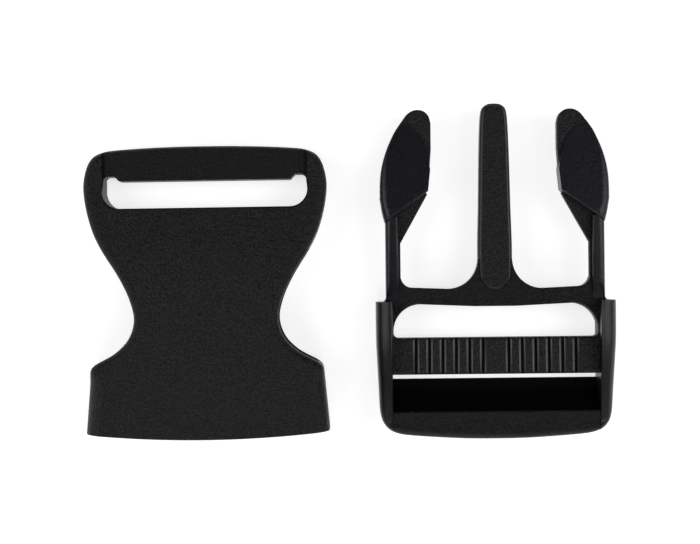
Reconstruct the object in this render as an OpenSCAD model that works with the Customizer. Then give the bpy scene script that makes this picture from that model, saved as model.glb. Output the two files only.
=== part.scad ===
// Side release buckle for 38 mm webbing, lying open: the socket on the left, the plug on the right.
// +X is to the right, +Y points from the webbing ends of the plug to its arm tips, +Z is up.
// The origin is on the surface that both halves lie on, in the middle of the pair.

/* [Both halves] */
// Width of the webbing slots
slot_w = 40; // [39:0.5:40.5]
// Thickness where the two halves meet
body_h = 10.5; // [10.5:0.25:11.5]
// From the middle of the pair to the centre line of the socket
socket_offset = 27.7; // [26:0.1:32]
// From the middle of the pair to the centre line of the plug
plug_offset = 28.1; // [26:0.1:32]

/* [Socket] */
// Thickness of the upper and lower plates
plate_wall = 1.75; // [1.5:0.05:2]
// Thickness at the webbing bar
bar_end_h = 8; // [7.5:0.1:8.5]
// Opening of the webbing slot along the buckle
socket_slot_open = 5.3; // [4.5:0.1:5.5]
// Half of the clear width inside the collar
collar_inside = 21.2; // [21.1:0.05:21.4]
// Rounding along the upper sides of the collar
collar_round = 3.2; // [2.5:0.1:3.4]
// Rounding along the upper edge of the outline
plate_round = 1.3; // [0.8:0.1:1.5]

/* [Plug frame] */
// Height of the rails at their outer ends
rail_end_h = 7.6; // [7.2:0.1:8.5]
// Opening of the upper webbing slot along the buckle
plug_slot_open = 6.3; // [5.5:0.1:6.5]
// Upper face of the ribbed bar
rib_bar_top = 7; // [6.5:0.1:7.2]
// Number of grooves on each side of the ribbed bar
groove_count = 6; // [4:1:6]
// Distance from one groove to the next
groove_pitch = 2.59; // [2:0.01:2.6]
// Wall of the bent end bar
end_bar_wall = 2.2; // [1.8:0.1:2.5]

/* [Plug arms] */
// Thickness of an arm's strip
strip_h = 5.3; // [4.8:0.1:5.4]
// Thickness of an arm's head at its ridge
head_h = 6.5; // [6:0.1:6.6]
// Thickness of the crossbar that carries the arms and the prong
crossbar_h = 3.6; // [3.5:0.1:4.5]
// Thickness of the centre prong between its panels
prong_h = 3.4; // [3:0.1:3.4]
// How far the prong's panels stand proud
panel_rise = 0.4; // [0.2:0.05:0.4]

/* [Hidden] */
$fn = 48;
BLACK = [0.13, 0.13, 0.14];
FAR = 60;
EPS = 0.01;
X = 0;
Y = 1;

// What both halves share
mid_z = body_h / 2;
slot_half = slot_w / 2;
lower_round = 1;
middle_y = 0.15;

// Socket outline, right side, from the mouth to the webbing bar
mouth_y = -31.7;
mouth_radius = 300;
collar_far = [24.11, -38];
collar_blend = [22.66, -21.5];
collar_corner = [22.4, -18.6];
shoulder_rows = [
    // half width, place along the buckle
    [22.1, -17.85], [21.5, -17.3]
];
waist_rows = [
    // half width, place along the buckle
    [20.6, -16.75], [19.3, -16.1], [17.45, -15], [15.45, -13.1], [14.3, -11],
    [13.85, -8.7], [14.25, -6.4], [15.4, -3.3], [17.4, 0.4], [19.85, 4.3], [21.6, 8], [22.8, 12],
    [23.35, 15.2], [23.45, 17.4], [23.15, 19.5], [22.5, 21.3], [21.4, 22.6], [19.8, 23.4],
    [17.6, 23.85], [12, 24.35], [6, 24.55], [2, 24.6]
];
collar_round_y = [-17.3, -21.5];
curve_steps = 3;
collar_steps = 4;
socket_slope_y = [-6, 24.6];

// Socket webbing slot and bar
slot_low_y = 12.7;
slot_high_y = slot_low_y + socket_slot_open;
slot_corner = 2.9;
notch_round = 1;
notch_end = 0.2;
notch_bend = [17.55, 0.4];
notch_x = 16.45;
notch_rise = 0.95;
bar_low_z = 2.2;
bar_drop = 0.25;
bar_start_y = slot_low_y + 3;
bar_roll_w = 1.9;
bar_roll_tilt = [15, 75];

// Socket hollow
window_low_y = -17.4;
window_high_y = 4.5;
arm_pocket = [17.6, 6.95];
prong_pocket = [3.4, 7.9];
guide_rib = [3.9, 1];
guide_rib_y = [-2, 7.5];
guide_rib_z = [1, bar_end_h - 0.5];
ledge_x = 19;
ledge_low_y = -21;
ledge_low_z = 1;
ledge_rise = 0.65;
wall_overlap = 0.5;
hollow_end_y = 10;

// Plug outline, right side, from the shoulder to the outer end
shoulder_y = -5.85;
frame_rows = [
    // half width, place along the buckle
    [23.1, 2], [23.1, -12], [22.85, -17], [22.5, -22.7], [22.25, -26.6], [21.85, -28.5],
    [21.2, -29.7], [20.2, -30.6], [18.8, -31.25], [16.5, -31.7], [11, -32.2], [6, -32.5], [2, -32.6]
];
rail_slope_y = [-10, -32];
rail_round = 3;
rail_round_y = [-31, -26];
lip_round = 1.3;

// Plug slots and bars
crossbar_low_y = [-6.87, -6.4];
arch_x = 4;
plug_slot_low_y = -6.57 - plug_slot_open;
plug_slot_round = 4;
plug_slot_low_round = 1;
slot_rim = 0.35;
rib_bar_y = [-20, plug_slot_low_y];
rib_bar_low_z = 2.5;
rib_bar_round = 0.7;
groove_middle = 4.97;
groove_w = [0.2, 0.6];
groove_depth = 0.9;
ramp_foot = [-20.95, 0.8];
ramp_crest = [-26.9, 7.15];
ramp_step = 0.4;
bend_ratio = [0.6, 1.45];
band_drop = 0.45;
overlap = 0.1;

// Plug arms and prong
strip_x = [18.75, 20.9];
strip_low_y = -6.2;
strip_round = 1.1;
web_h = 2;
web_x = 18.25;
web_low_y = -2.5;
web_knee_y = 5.4;
web_bite = 1;
head_rows = [
    // half width, place along the buckle, from the latch corner to the tip
    [20.9, 9], [21.6, 11.9], [21.9, 15.2], [21.65, 19.3], [20.8, 22.8], [19.3, 26.3],
    [17.6, 28.9], [16.6, 30.3], [15.7, 30.95], [14.7, 31.2], [13.5, 30.9], [12.6, 30], [12.2, 28.6]
];
head_inner_top = [12.2, 23.5];
head_inner = [12.6, 15.5];
ridge_outer = [20.9, 9.7];
plate_h = 3.3;
pad_edge = [[12.3, 19.6], [12.9, 22.6], [14.2, 25.9], [17.2, 29.4]];
head_slope = 5.5;
head_slope_y = 12;
head_round = 1.6;
head_round_x = 17;
prong_rows = [
    // half width, place along the buckle
    [3.3, -4], [3.3, 5], [3.1, 12], [2.9, 22], [2.68, 28.3], [2.4, 30.9], [1.9, 31.75],
    [1.1, 32.2], [0.3, 32.3]
];
panel_inset = 0.4;
panel_end_r = 2.9;
panel_end_y = -0.6;
panel_tip = [0.3, 31.9];
prong_round = 0.6;
crossbar_top_y = -3.45;
prong_fillet = 3.9;
prong_fillet_x = 7.2;
arm_fillet = 2.2;
arm_fillet_rise = 0.3;

// Smooth curve through the rows of a table
function curve(rows, steps) = concat(
    [for (i = [0:len(rows) - 2], s = [0:steps - 1])
        let (
            t = s / steps,
            a = rows[max(i - 1, 0)],
            b = rows[i],
            c = rows[i + 1],
            d = rows[min(i + 2, len(rows) - 1)]
        )
        (2 * b + (c - a) * t + (2 * a - 5 * b + 4 * c - d) * t * t
            + (3 * b - a - 3 * c + d) * t * t * t) / 2],
    [rows[len(rows) - 1]]
);

// Points of an arc, from one angle to another
function arc(centre, radius, from, to, steps = 8) = [
    for (s = [0:steps])
        let (angle = from + (to - from) * s / steps)
        centre + radius * [cos(angle), sin(angle)]
];

function unit(v) = v / norm(v);
function ease(t) = let (c = min(max(t, 0), 1)) c * c * (3 - 2 * c);
function blend(a, b, t) = a + (b - a) * t;
function flip(rows) = [for (i = [len(rows) - 1:-1:0]) [-rows[i][X], rows[i][Y]]];
function back(rows) = [for (i = [len(rows) - 1:-1:0]) rows[i]];

// Height of the upper face of the socket and of the plug's rails, at a place along the buckle
function share(y, from_to) = ease((y - from_to[0]) / (from_to[1] - from_to[0]));
function socket_top(y) = blend(body_h, bar_end_h, share(y, socket_slope_y));
function rail_top(y) = blend(body_h, rail_end_h, share(y, rail_slope_y));

// Outward direction of an outline at point i, lengthened at a corner
function outward(line, i) =
    let (
        n = len(line),
        a = unit(line[i] - line[(i + n - 1) % n]),
        b = unit(line[(i + 1) % n] - line[i]),
        na = [a[Y], -a[X]],
        nb = [b[Y], -b[X]]
    )
    (na + nb) / (1 + na * nb);

// Solid over a closed outline that is the same on the left and on the right. Its upper face has
// the heights tops and its upper edge the roundings rounds, one for each row of the right side.
module rounded_slab(rows, tops, rounds, low, lower_round, steps = 4) {
    n = len(rows);
    line = concat(rows, flip(rows));
    m = len(line);
    out = [for (i = [0:m - 1]) outward(line, i)];
    levels = 2 * (steps + 1);
    points = [
        for (k = [0:levels - 1], i = [0:m - 1])
            let (
                upper = k > steps,
                step = upper ? k - steps - 1 : steps - k,
                angle = 90 * step / steps,
                row = i < n ? i : m - 1 - i,
                radius = upper ? rounds[row] : lower_round,
                top = tops[row],
                inset = radius * (1 - cos(angle)),
                z = upper ? top - radius * (1 - sin(angle)) : low + radius * (1 - sin(angle)),
                p = line[i] - out[i] * inset
            )
            [p[X], p[Y], z]
    ];
    sides = [
        for (k = [0:levels - 2], i = [0:m - 1])
            let (j = (i + 1) % m)
            [k * m + j, k * m + i, (k + 1) * m + i, (k + 1) * m + j]
    ];
    last = (levels - 1) * m;
    top_faces = [
        for (i = [0:n - 2]) [last + i + 1, last + i, last + m - 1 - i, last + m - 2 - i]
    ];
    low_faces = [for (i = [0:n - 2]) [i, i + 1, m - 2 - i, m - 1 - i]];
    polyhedron(points, concat(sides, top_faces, low_faces), convexity = 6);
}

// Solid whose side view is a polygon of places along the buckle and heights
module side_profile(half_width, points) {
    multmatrix([[0, 0, 1, -half_width], [1, 0, 0, 0], [0, 1, 0, 0], [0, 0, 0, 1]])
        linear_extrude(2 * half_width) polygon(points);
}

// Solid whose end view is a polygon of half widths and heights, from one place to another
module end_profile(from_y, to_y, points) {
    multmatrix([[1, 0, 0, 0], [0, 0, 1, from_y], [0, 1, 0, 0], [0, 0, 0, 1]])
        linear_extrude(to_y - from_y) polygon(points);
}

module both_sides() {
    children();
    mirror([1, 0, 0]) children();
}

// The outside of the socket before it is opened
module socket_form() {
    rows = concat(
        [collar_far],
        [for (s = [0:collar_steps]) blend(collar_blend, collar_corner, s / collar_steps)],
        shoulder_rows,
        curve(waist_rows, curve_steps)
    );
    rounds = [for (p = rows) blend(plate_round, collar_round, share(p[Y], collar_round_y))];
    intersection() {
        rounded_slab(rows, [for (p = rows) socket_top(p[Y])], rounds, 0, lower_round, 5);
        translate([0, mouth_y + mouth_radius, -1]) cylinder(h = FAR, r = mouth_radius, $fn = 360);
    }
}

// Webbing slot with the two notches beside the bar
module socket_slot() {
    low = slot_low_y + slot_corner;
    top = slot_high_y + notch_rise;
    right = concat(
        arc([slot_half - slot_corner, low], slot_corner, -90, 0),
        arc([slot_half - notch_round - notch_end, top - notch_round], notch_round, 0, 90, 6),
        arc([notch_bend[0], top - notch_bend[1]], notch_bend[1], 90, 135, 2),
        [[notch_x, slot_high_y]]
    );
    translate([0, 0, -1]) linear_extrude(FAR) polygon(concat(right, flip(right)));
}

// What shapes the webbing bar: its lower upper face, its rolled ends and its raised underside
module bar_cuts() {
    face = bar_end_h - bar_drop;
    start = bar_roll_tilt[0];
    radius = bar_roll_w / (sin(bar_roll_tilt[1]) - sin(start));
    centre = [slot_half - bar_roll_w - radius * sin(start), face - radius * cos(start)];
    roll = arc(centre, radius, 90 - start, 90 - bar_roll_tilt[1]);
    end_profile(bar_start_y, FAR, concat([[-slot_half, FAR]], flip(roll), roll, [[slot_half, FAR]]));
    translate([-slot_half, bar_start_y, -1]) cube([slot_w, FAR, 1 + bar_low_z]);
}

// Space between the plates: collar, side windows, arm pockets and prong pocket
module socket_hollow() {
    steps = 12;
    roof = [
        for (s = [0:steps])
            let (y = hollow_end_y - (hollow_end_y + FAR) * pow(s / steps, 3))
            [y, socket_top(y) - plate_wall]
    ];
    intersection() {
        side_profile(FAR, concat(roof, [[-FAR, plate_wall], [hollow_end_y, plate_wall]]));
        union() {
            translate([-collar_inside, -FAR, 0]) cube([2 * collar_inside, FAR + window_low_y + 1, FAR]);
            translate([-FAR, window_low_y, 0]) cube([2 * FAR, window_high_y - window_low_y, FAR]);
            translate([-arm_pocket[X], 0, 0]) cube([2 * arm_pocket[X], arm_pocket[Y], FAR]);
            translate([-prong_pocket[X], 0, 0]) cube([2 * prong_pocket[X], prong_pocket[Y], FAR]);
        }
    }
}

// Ribs that steer the prong, and ledges that the arm heads snap behind
module socket_inner_ribs() {
    both_sides() {
        translate([guide_rib[0], guide_rib_y[0], guide_rib_z[0]])
            cube([guide_rib[1], guide_rib_y[1] - guide_rib_y[0], guide_rib_z[1] - guide_rib_z[0]]);
        for (z = [ledge_low_z, body_h - plate_wall - ledge_rise])
            translate([ledge_x, ledge_low_y, z]) cube([
                collar_inside - ledge_x + wall_overlap,
                window_low_y - ledge_low_y,
                plate_wall - ledge_low_z + ledge_rise
            ]);
    }
}

module socket() {
    color(BLACK) translate([-socket_offset, middle_y, 0]) difference() {
        socket_form();
        difference() {
            socket_hollow();
            socket_inner_ribs();
        }
        socket_slot();
        bar_cuts();
    }
}

// Rails and end bar share one outline. The end bar's upper face is lower than the rails' by drop.
module frame_form(drop, side_round) {
    rows = back(curve(frame_rows, curve_steps));
    rounded_slab(
        rows,
        [for (p = rows) rail_top(p[Y]) - drop],
        [for (p = rows) blend(lip_round, side_round, share(p[Y], rail_round_y))],
        0,
        lower_round
    );
}

module rails() {
    difference() {
        intersection() {
            frame_form(0, rail_round);
            translate([-FAR, shoulder_y - FAR, 0]) cube([2 * FAR, FAR, FAR]);
        }
        translate([-slot_half, -FAR, -1]) cube([slot_w, 2 * FAR, FAR]);
    }
}

// Bent end bar: a ramp that rises from the ribbed bar, and a band that ends in a curved lip
module end_bar() {
    slanted = bend_ratio[1] * end_bar_wall;
    beyond = ramp_crest + 3 * (ramp_crest - ramp_foot);
    intersection() {
        frame_form(band_drop, lip_round);
        side_profile(slot_half + overlap, [
            ramp_foot,
            [ramp_foot[0] - ramp_step, 0],
            [ramp_foot[0] - ramp_step - slanted, 0],
            [ramp_crest[0] - bend_ratio[0] * end_bar_wall, ramp_crest[1] - slanted],
            [-FAR, ramp_crest[1] - slanted],
            [-FAR, beyond[1]],
            beyond
        ]);
    }
}

// Bar across the plug with grooves that hold the webbing
module ribbed_bar() {
    y0 = rib_bar_y[0];
    y1 = rib_bar_y[1];
    r = rib_bar_round;
    section = concat(
        arc([y1 - r, rib_bar_top - r], r, 0, 90, 4), arc([y0 + r, rib_bar_top - r], r, 90, 180, 4),
        arc([y0 + r, rib_bar_low_z + r], r, 180, 270, 4), arc([y1 - r, rib_bar_low_z + r], r, 270, 360, 4)
    );
    difference() {
        side_profile(slot_half + overlap, section);
        both_sides() for (i = [0:groove_count - 1])
            translate([groove_middle / 2 + i * groove_pitch, 0, rib_bar_top])
                end_profile(y0 - 1, y1 + 1, [
                    [-groove_w[1] / 2, EPS], [-groove_w[0] / 2, -groove_depth],
                    [groove_w[0] / 2, -groove_depth], [groove_w[1] / 2, EPS]
                ]);
    }
}

// Gap between the prong and the right arm, with its two filleted corners
function arm_gap() = concat(
    arc([prong_fillet_x, crossbar_top_y + prong_fillet], prong_fillet, 180, 270),
    arc([web_x - arm_fillet, crossbar_top_y + arm_fillet_rise + arm_fillet], arm_fillet, 270, 360),
    [[web_x, FAR], [prong_rows[0][X], FAR]]
);

// Outline of the arched webbing slot below the crossbar, with a thin rim left along the rails
function upper_slot() = let (
        half = slot_half - slot_rim,
        r = plug_slot_low_round,
        right = concat(
            arc([half - r, plug_slot_low_y + r], r, -90, 0, 4),
            arc([half - plug_slot_round, crossbar_low_y[1] - plug_slot_round], plug_slot_round, 0, 90),
            [[arch_x, crossbar_low_y[0]]]
        )
    )
    concat(right, flip(right));

// Bar that carries the prong and the arms, with the rims that run down to the ribbed bar
module crossbar() {
    low_y = crossbar_low_y[1] - plug_slot_round;
    high_y = crossbar_top_y + prong_fillet;
    translate([0, 0, mid_z - crossbar_h / 2]) linear_extrude(crossbar_h) difference() {
        translate([-strip_x[1], low_y]) square([2 * strip_x[1], high_y - low_y]);
        polygon(upper_slot());
        both_sides() polygon(arm_gap());
        both_sides() translate([web_x - wall_overlap, crossbar_top_y + arm_fillet]) square(FAR);
    }
    rim_w = slot_rim + plug_slot_low_round;
    rim_low_y = plug_slot_low_y - rib_bar_round;
    rim_h = rib_bar_top - overlap - mid_z + crossbar_h / 2;
    translate([0, 0, mid_z - crossbar_h / 2]) linear_extrude(rim_h) difference() {
        both_sides() translate([slot_half - rim_w, rim_low_y])
            square([rim_w + overlap, low_y + overlap - rim_low_y]);
        polygon(upper_slot());
    }
}

module prong() {
    tall = curve(prong_rows, curve_steps);
    panel = concat(
        arc([0, panel_end_y], panel_end_r, -85, 0),
        [for (p = tall) if (p[Y] > 0)
            [max(p[X] - panel_inset, panel_tip[X]), min(p[Y], panel_tip[Y])]]
    );
    height = prong_h + 2 * panel_rise;
    rounded_slab(
        tall, [for (p = tall) mid_z + prong_h / 2], [for (p = tall) prong_round],
        mid_z - prong_h / 2, prong_round, 2
    );
    translate([0, 0, mid_z - height / 2]) linear_extrude(height)
        polygon(concat(panel, flip(panel)));
}

function head_outline() = concat(curve(head_rows, 2), [head_inner_top, head_inner]);

// Thick part of an arm's head: a rounded pad on each face, which thins towards the tip
module head_pad() {
    outer = [for (p = curve([for (i = [0:6]) head_rows[i]], 3)) if (p[Y] > ridge_outer[Y]) p];
    outline = concat([ridge_outer], outer, back(pad_edge), [head_inner]);
    intersection() {
        hull() for (s = [0:4])
            let (
                angle = 22.5 * s,
                inset = head_round * (1 - cos(angle)),
                h = head_h - 2 * head_round * (1 - sin(angle))
            )
            translate([0, 0, mid_z - h / 2]) linear_extrude(h) polygon([
                for (p = outline) p[X] > head_round_x ? p - [inset, 0] : p
            ]);
        head_wedge();
    }
}

// Space between the two pad faces of a head, which lean towards each other at the tip
module head_wedge() {
    half = head_h / 2 + EPS;
    side_profile(FAR, [
        [0, mid_z + half], [head_slope_y, mid_z + half],
        [head_slope_y + half / tan(head_slope), mid_z],
        [head_slope_y, mid_z - half], [0, mid_z - half]
    ]);
}

module arm() {
    r = strip_round;
    h = strip_h;
    section = concat(
        [[strip_x[0], h]], [[strip_x[0], 0]],
        arc([strip_x[1] - r, r], r, -90, 0, 4), arc([strip_x[1] - r, h - r], r, 0, 90, 4)
    );
    translate([0, 0, mid_z - h / 2]) end_profile(strip_low_y, ridge_outer[Y] + web_bite, section);
    translate([0, 0, mid_z - web_h / 2]) linear_extrude(web_h) polygon([
        [web_x, web_low_y], [strip_x[0] + web_bite, web_low_y],
        [strip_x[0] + web_bite, ridge_outer[Y] + web_bite],
        head_inner + [0, web_bite], head_inner, [web_x, web_knee_y]
    ]);
    translate([0, 0, mid_z - plate_h / 2]) linear_extrude(plate_h)
        polygon([for (p = head_outline()) if (p[Y] > ridge_outer[Y]) p]);
    head_pad();
}

module plug() {
    color(BLACK) translate([plug_offset, middle_y, 0]) union() {
        rails();
        end_bar();
        ribbed_bar();
        crossbar();
        prong();
        both_sides() arm();
    }
}

socket();
plug();
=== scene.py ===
"""Side release buckle for 38 mm webbing, laid open on a pale surface.

The two black acetal mouldings are modelled in millimetres with Blender's operators, each about
the middle of its own width. They are then brought to metres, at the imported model's place.
"""

import logging
from collections.abc import Callable, Iterable, Sequence
from dataclasses import dataclass
from enum import Enum
from math import atan2, cos, radians, sin, tan
from typing import Any

import bmesh
import bpy
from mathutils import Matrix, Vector


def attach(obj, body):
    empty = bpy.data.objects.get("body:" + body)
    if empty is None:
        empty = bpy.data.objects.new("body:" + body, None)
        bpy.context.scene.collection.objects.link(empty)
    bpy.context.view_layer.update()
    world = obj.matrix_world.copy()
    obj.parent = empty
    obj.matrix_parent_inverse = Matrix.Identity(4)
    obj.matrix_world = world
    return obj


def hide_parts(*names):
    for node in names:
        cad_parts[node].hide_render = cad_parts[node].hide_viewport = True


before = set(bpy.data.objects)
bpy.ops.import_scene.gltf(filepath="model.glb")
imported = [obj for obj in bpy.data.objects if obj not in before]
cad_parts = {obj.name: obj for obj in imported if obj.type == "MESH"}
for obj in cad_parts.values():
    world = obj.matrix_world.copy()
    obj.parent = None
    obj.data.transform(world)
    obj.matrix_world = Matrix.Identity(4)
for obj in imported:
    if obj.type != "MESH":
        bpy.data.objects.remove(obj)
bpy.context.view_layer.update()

log = logging.getLogger("buckle")

MILLIMETRE = 0.001

# Lengths for modelling, in millimetres
FAR = 60.0
BELOW = -1.0
TOUCH = 0.01
LONG_EDGE = 1.0
LOWER_Z = 1.0
DOUBLE = 0.0005
SLIVER = 0.002
RUNG_GAP = 0.9

# Angles for modelling, in degrees
SHARP_ANGLE = 40.0
SMOOTH_ANGLE = 38.0
FLAT_ANGLE = 0.3

# Faces across a flared rim, and steps between two rows of an outline's table
FLARE_STEPS = 4
ROW_STEPS = 3

Piece = bpy.types.Object
Mesh = bmesh.types.BMesh
Edge = bmesh.types.BMEdge
Face = bmesh.types.BMFace
Row = tuple[float, float]
Rows = Sequence[Row]
EdgeTest = Callable[[Edge], bool]
FaceTest = Callable[[Face], bool]


class Merge(Enum):
    """How two solids become one."""

    CUT = "DIFFERENCE"
    JOIN = "UNION"
    KEEP_COMMON = "INTERSECT"


class Plane(Enum):
    """The plane that an outline is drawn in, and the way its thickness goes."""

    FLAT = (0, 1, 2)
    SIDE_VIEW = (1, 2, 0)
    END_VIEW = (0, 2, 1)

    def point(self, across: float, up: float, along: float) -> Vector:
        """The place in space of an outline's point, at a place along its thickness.

        Args:
            across: The outline's first measure.
            up: The outline's second measure.
            along: How far along the thickness the point lies.

        Returns:
            The point as a vector in millimetres.
        """
        place = [0.0, 0.0, 0.0]
        for axis, value in zip(self.value, (across, up, along)):
            place[axis] = value
        return Vector(place)


def ease(share: float) -> float:
    """A share from 0 to 1 that starts and ends level."""
    held = min(max(share, 0.0), 1.0)
    return held * held * (3 - 2 * held)


def between(start: float, end: float, share: float) -> float:
    """The value at a share of the way from start to end."""
    return start + (end - start) * share


def arc(centre: Row, radius: float, start: float, end: float, steps: int) -> list[Row]:
    """Points along an arc between two angles in degrees, both ends included."""
    angles = [radians(between(start, end, step / steps)) for step in range(steps + 1)]
    return [(centre[0] + radius * cos(a), centre[1] + radius * sin(a)) for a in angles]


def curve(rows: Rows, steps: int = ROW_STEPS) -> list[Row]:
    """A smooth line through the rows of a table.

    Args:
        rows: The points that the line passes.
        steps: Number of straight steps between two rows.

    Returns:
        The points of the line.
    """
    line: list[Row] = []
    last = len(rows) - 1
    for i in range(last):
        a, b, c, d = rows[max(i - 1, 0)], rows[i], rows[i + 1], rows[min(i + 2, last)]
        for step in range(steps):
            t = step / steps
            line.append(tuple(
                (2 * q + (r - p) * t + (2 * p - 5 * q + 4 * r - s) * t * t
                 + (3 * q - p - 3 * r + s) * t ** 3) / 2
                for p, q, r, s in zip(a, b, c, d)
            ))
    return line + [rows[last]]


def mirrored(rows: Rows) -> list[Row]:
    """The same rows on the left, in the opposite order."""
    return [(-x, y) for x, y in reversed(rows)]


def closed(rows: Rows) -> list[Row]:
    """A right half with its mirror image, as one outline."""
    return [*rows, *mirrored(rows)]


def ends(edge: Edge) -> tuple[Vector, Vector]:
    """The places of an edge's two ends."""
    return edge.verts[0].co, edge.verts[1].co


def runs_along(edge: Edge) -> bool:
    """Whether an edge runs along the buckle."""
    a, b = ends(edge)
    return abs(a.y - b.y) > LONG_EDGE and (a.xz - b.xz).length < TOUCH


def runs_across(edge: Edge) -> bool:
    """Whether an edge runs from side to side."""
    a, b = ends(edge)
    return abs(a.x - b.x) > LONG_EDGE


def is_level(edge: Edge) -> bool:
    """Whether both ends of an edge are at one height."""
    a, b = ends(edge)
    return abs(a.z - b.z) < TOUCH


class Bench:
    """Blender's modelling operators, used one after another as by hand."""

    def clear(self) -> None:
        """Leaves edit mode with nothing selected."""
        if bpy.context.object and bpy.context.object.mode != "OBJECT":
            self.leave()
        bpy.ops.object.select_all(action="DESELECT")

    def leave(self) -> None:
        """Leaves edit mode."""
        bpy.ops.object.mode_set(mode="OBJECT")

    def take(self, piece: Piece) -> None:
        """Makes a piece the only selected one.

        Args:
            piece: The piece to work on.
        """
        self.clear()
        piece.select_set(True)
        bpy.context.view_layer.objects.active = piece

    def edit(self, piece: Piece, mode: str = "EDGE", select: str = "DESELECT") -> Mesh:
        """Opens a piece in edit mode.

        Args:
            piece: The piece to work on.
            mode: The kind of element to select.
            select: Whether nothing or all is selected.

        Returns:
            The piece's mesh, for selecting in code.
        """
        self.take(piece)
        bpy.ops.object.mode_set(mode="EDIT")
        bpy.ops.mesh.select_mode(type=mode)
        bpy.ops.mesh.select_all(action=select)
        return bmesh.from_edit_mesh(piece.data)

    def pick(self, piece: Piece, elements: Iterable[Any], wanted: Callable[[Any], bool]) -> bool:
        """Selects the vertices, edges or faces that a test picks.

        Args:
            piece: The piece, open in edit mode.
            elements: The elements to choose from.
            wanted: Says which of them are selected.

        Returns:
            Whether there are any.
        """
        picked = [element for element in elements if wanted(element)]
        for element in picked:
            element.select_set(True)
        bmesh.update_edit_mesh(piece.data)
        return bool(picked)

    def modify(self, piece: Piece, kind: str, **settings: Any) -> None:
        """Gives the active piece a modifier and applies it.

        Args:
            piece: The active piece.
            kind: The modifier's type.
            settings: Its settings by their names.
        """
        step = piece.modifiers.new(kind.lower(), kind)
        for name, value in settings.items():
            setattr(step, name, value)
        bpy.ops.object.modifier_apply(modifier=step.name)

    def extrude(self, way: Sequence[float]) -> None:
        """Extrudes what is selected."""
        bpy.ops.mesh.extrude_region_move(TRANSFORM_OT_translate={"value": way})

    def extrude_down(self, level: float) -> None:
        """Extrudes what is selected down to a level plane."""
        self.extrude((0, 0, -FAR))
        bpy.ops.transform.resize(value=(1, 1, 0), center_override=(0, 0, level))

    def face_outwards(self, piece: Piece) -> None:
        """Merges doubles and turns every face outwards.

        Args:
            piece: The piece to work on.
        """
        self.edit(piece, select="SELECT")
        bpy.ops.mesh.remove_doubles(threshold=DOUBLE)
        bpy.ops.mesh.normals_make_consistent(inside=False)
        self.leave()

    def close(self, piece: Piece) -> Piece:
        """Ends the drawing of a solid, and returns it with its faces outwards.

        Args:
            piece: The piece to work on.

        Returns:
            The same piece.
        """
        self.leave()
        bpy.ops.object.transform_apply()
        self.face_outwards(piece)
        return piece

    def block(self, name: str, low: Sequence[float], high: Sequence[float]) -> Piece:
        """A plain block between two corners, with its place in its mesh.

        Args:
            name: The block's name.
            low: Its lowest corner.
            high: Its highest corner.

        Returns:
            The block.
        """
        self.clear()
        middle = [(a + b) / 2 for a, b in zip(low, high)]
        size = [b - a for a, b in zip(low, high)]
        bpy.ops.mesh.primitive_cube_add(size=1, location=middle, scale=size)
        piece = bpy.context.object
        piece.name = name
        bpy.ops.object.transform_apply()
        return piece

    def outline(self, name: str, path: Sequence[Vector]) -> Piece:
        """Draws a closed outline by extruding one vertex along it, and fills it with a face.

        Args:
            name: The new piece's name.
            path: The corners of the outline, in order.

        Returns:
            The filled outline, left open in edit mode with the face selected.
        """
        self.clear()
        bpy.ops.mesh.primitive_plane_add(size=1, location=path[0])
        piece = bpy.context.object
        piece.name = name
        bpy.ops.object.mode_set(mode="EDIT")
        bpy.ops.mesh.select_mode(type="VERT")
        bpy.ops.mesh.select_all(action="SELECT")
        bpy.ops.mesh.merge(type="CENTER")
        for here, there in zip(path, path[1:]):
            bpy.ops.mesh.extrude_vertices_move(TRANSFORM_OT_translate={"value": there - here})
        bpy.ops.mesh.select_all(action="SELECT")
        bpy.ops.mesh.edge_face_add()
        return piece

    def prism(self, name: str, plane: Plane, rows: Rows, start: float, end: float) -> Piece:
        """A solid with the same outline all along its thickness.

        Args:
            name: The solid's name.
            plane: The plane of the outline.
            rows: The outline's corners in that plane.
            start: Where the thickness begins.
            end: Where it ends.

        Returns:
            The closed solid.
        """
        piece = self.outline(name, [plane.point(a, b, start) for a, b in rows])
        self.extrude(plane.point(0, 0, end - start))
        return self.close(piece)

    def slab(self, name: str, rows: Rows, height: Callable[[float], float]) -> Piece:
        """A solid that stands on the surface, with an upper face that follows a height.

        Args:
            name: The solid's name.
            rows: The outline's right half, from one end of the buckle to the other.
            height: The upper face's height at a place along the buckle.

        Returns:
            The closed solid.
        """
        piece = self.outline(name, [Vector((x, y, height(y))) for x, y in closed(rows)])
        self.extrude_down(0)
        return self.close(piece)

    def flared(
        self, name: str, rows: Rows, height: Callable[[float, float], float], flare: float
    ) -> Piece:
        """A cutter that widens where it leaves the upper face, so that its edge is rounded.

        Args:
            name: The cutter's name.
            rows: Right half of its outline.
            height: Height of the upper face at a place of the outline.
            flare: Rounding of the edge.

        Returns:
            The cutter, from below the surface to far above it.
        """
        rows = closed(rows)
        middle = (max(y for _, y in rows) + min(y for _, y in rows)) / 2
        half = (max(x for x, _ in rows), max(y for _, y in rows) - middle)
        piece = self.outline(name, [Vector((x, y, height(x, y) - flare)) for x, y in rows])
        self.extrude_down(5 * BELOW)
        bpy.ops.mesh.select_mode(type="FACE")
        bpy.ops.mesh.select_all(action="DESELECT")

        def is_upper(face: Face) -> bool:
            """Whether a face is the filled outline itself."""
            above = face.calc_center_median().z > -piece.location.z
            return len(face.verts) == len(rows) and above

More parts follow.
